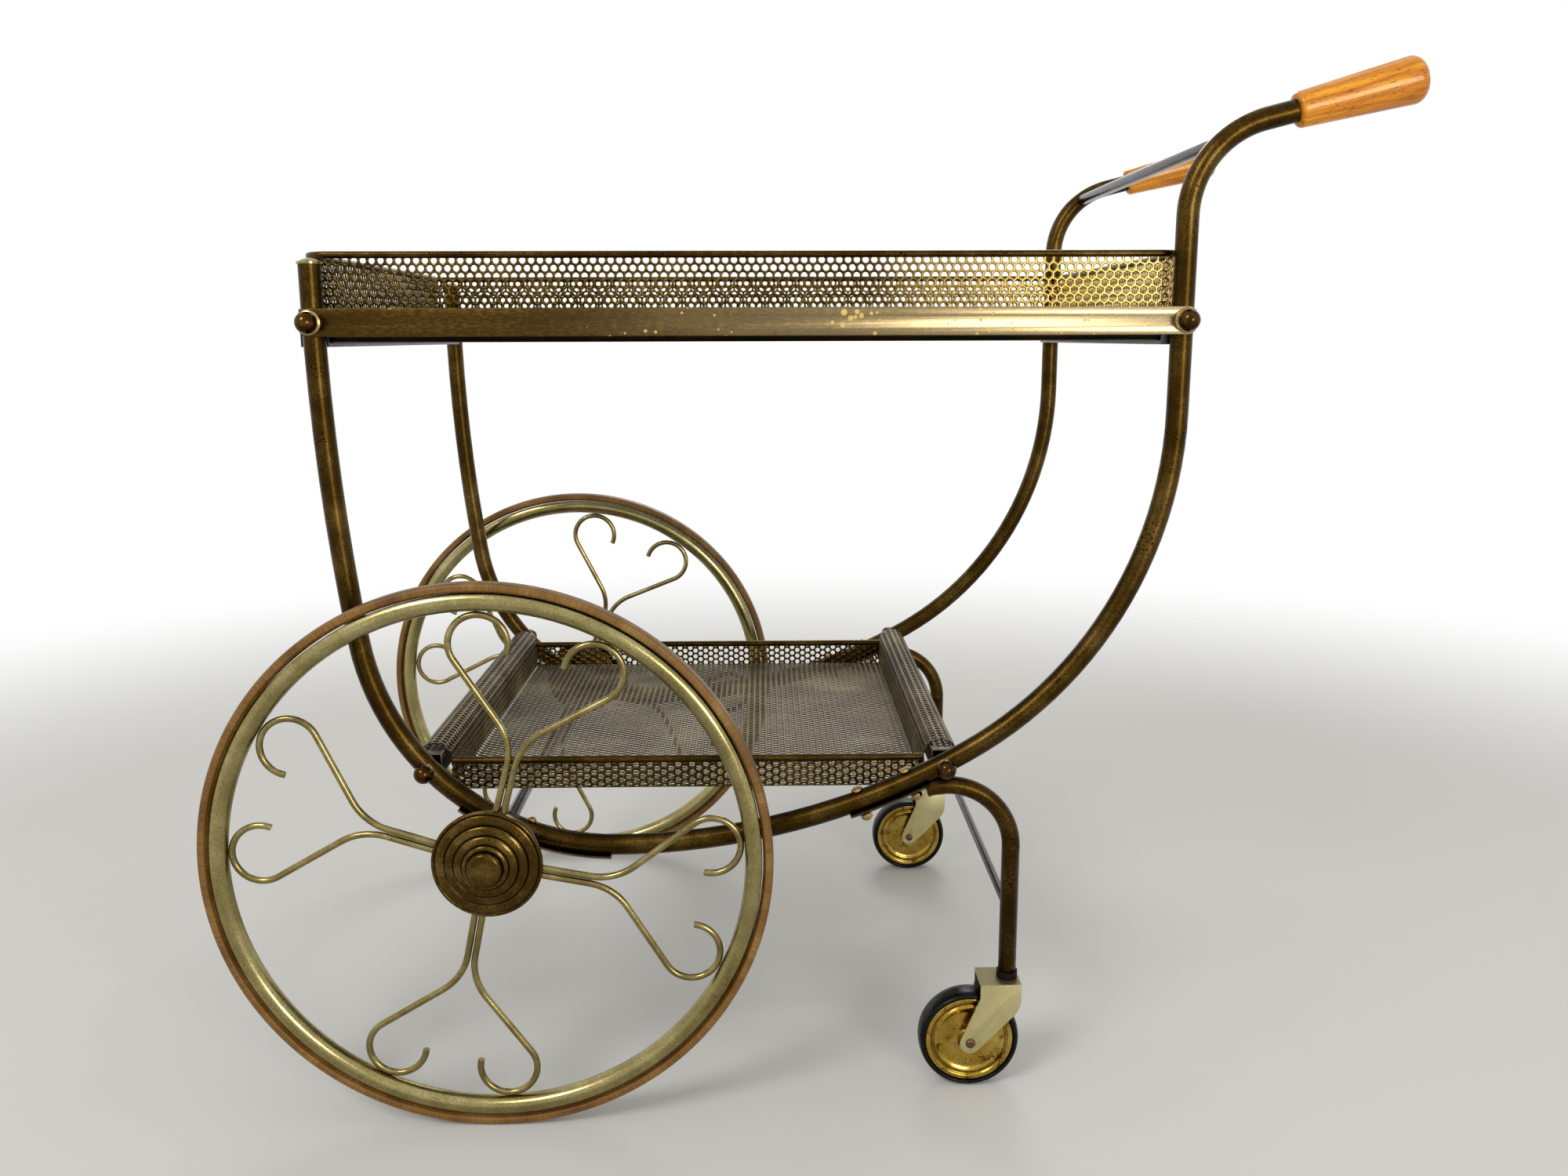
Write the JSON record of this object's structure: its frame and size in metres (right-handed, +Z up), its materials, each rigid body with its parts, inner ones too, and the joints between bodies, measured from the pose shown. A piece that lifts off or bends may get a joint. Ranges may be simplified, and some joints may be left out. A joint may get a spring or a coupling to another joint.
{
  "type": "serving trolley",
  "caption": "Two-tier serving trolley with bent side tubes, perforated lift-off trays, large scroll-spoke front wheels, swivel rear casters and wooden push grips.",
  "frame": {"origin": "on the floor under the middle of the trolley's bounding box", "axes": "+X from the large wheels towards the handles, +Y from the picture's near side to its far side, +Z up"},
  "size_m": [0.8825, 0.56, 0.7827],
  "materials": {
    "tube_brass": "antiqued, pitted, satin",
    "cap_brass": "antiqued, satin",
    "rail_brass": "bright, scratched",
    "ball_brass": "antiqued, polished",
    "tray_brass": "antiqued perforated sheet",
    "grip_wood": "varnished beech",
    "bright_steel": "drawn, light",
    "dark_steel": "dark",
    "bar_steel": "worn plating",
    "saddle_metal": "dark reddish patina",
    "screw_nickel": "worn plating",
    "wheel_tyre": "copper brown, fine cross streaks",
    "rim_brass": "pale, satin",
    "wire_brass": "satin",
    "bush_bronze": "bronze bearing",
    "fork_nickel": "pale plated",
    "seal_rubber": "matt",
    "rivet_copper": "brown pink",
    "disc_brass": "pitted",
    "caster_rubber": "gloss"
  },
  "bodies": {
    "frame": {"left_hoop": "tube_brass", "right_hoop": "tube_brass", "end_caps": "cap_brass", "left_handle_tube": "tube_brass", "right_handle_tube": "tube_brass", "left_grip": "grip_wood", "right_grip": "grip_wood", "handle_crossbar": "bright_steel", "left_rail": "rail_brass", "right_rail": "rail_brass", "front_cross_angle": "dark_steel", "rear_cross_angle": "dark_steel", "rail_bolts": "bright_steel", "rail_ball_nuts": "ball_brass", "lower_front_bar": "bar_steel", "lower_rear_bar": "bar_steel", "tie_rods": "bright_steel", "bar_ball_nuts": "ball_brass", "left_leg": "tube_brass", "right_leg": "tube_brass", "leg_screws": "screw_nickel", "leg_nuts": "screw_nickel", "leg_cross_rod": "dark_steel", "axle": "bright_steel", "left_axle_saddle": "saddle_metal", "right_axle_saddle": "saddle_metal", "saddle_screws": "screw_nickel", "saddle_nuts": "screw_nickel", "axle_washers": "bright_steel", "axle_nuts": "bright_steel"},
    "top_tray": {"top_tray": "tray_brass", "top_tray_rim": "tray_brass"},
    "lower_tray": {"lower_tray": "tray_brass", "lower_tray_rims": "tray_brass"},
    "left_wheel": {"left_wheel_tyre": "wheel_tyre", "left_wheel_rim": "rim_brass", "left_wheel_scrolls": "wire_brass", "left_wheel_hub": "cap_brass", "left_hub_bush": "bush_bronze", "left_hub_cap": "cap_brass"},
    "left_caster": {"left_caster_stem": "bright_steel", "left_caster_seal": "seal_rubber", "left_caster_fork": "fork_nickel", "left_caster_pin": "rivet_copper"},
    "left_caster_wheel": {"left_caster_disc": "disc_brass", "left_caster_tyre": "caster_rubber"},
    "right_wheel": {"right_wheel_tyre": "wheel_tyre", "right_wheel_rim": "rim_brass", "right_wheel_scrolls": "wire_brass", "right_wheel_hub": "cap_brass", "right_hub_bush": "bush_bronze", "right_hub_cap": "cap_brass"},
    "right_caster": {"right_caster_stem": "bright_steel", "right_caster_seal": "seal_rubber", "right_caster_fork": "fork_nickel", "right_caster_pin": "rivet_copper"},
    "right_caster_wheel": {"right_caster_disc": "disc_brass", "right_caster_tyre": "caster_rubber"}
  },
  "joints": [
    {"name": "left_wheel_spin", "type": "hinge", "parent": "frame", "child": "left_wheel", "pos_m": [-0.2303, -0.263, 0.211], "axis": [0, 1, 0], "continuous": true},
    {"name": "left_caster_swivel", "type": "hinge", "parent": "frame", "child": "left_caster", "pos_m": [0.1664, -0.215, 0.09], "axis": [0, 0, 1], "continuous": true},
    {"name": "left_caster_spin", "type": "hinge", "parent": "left_caster", "child": "left_caster_wheel", "pos_m": [0.1364, -0.215, 0.04], "axis": [0, 1, 0], "continuous": true},
    {"name": "right_wheel_spin", "type": "hinge", "parent": "frame", "child": "right_wheel", "pos_m": [-0.2303, 0.263, 0.211], "axis": [0, 1, 0], "continuous": true},
    {"name": "right_caster_swivel", "type": "hinge", "parent": "frame", "child": "right_caster", "pos_m": [0.1664, 0.215, 0.09], "axis": [0, 0, 1], "continuous": true},
    {"name": "right_caster_spin", "type": "hinge", "parent": "right_caster", "child": "right_caster_wheel", "pos_m": [0.1364, 0.215, 0.04], "axis": [0, 1, 0], "continuous": true},
    {"name": "top_tray_lift", "type": "slide", "parent": "frame", "child": "top_tray", "axis": [0, 0, 1], "range_m": [0, 0.12]},
    {"name": "lower_tray_lift", "type": "slide", "parent": "frame", "child": "lower_tray", "axis": [0, 0, 1], "range_m": [0, 0.08]}
  ]
}
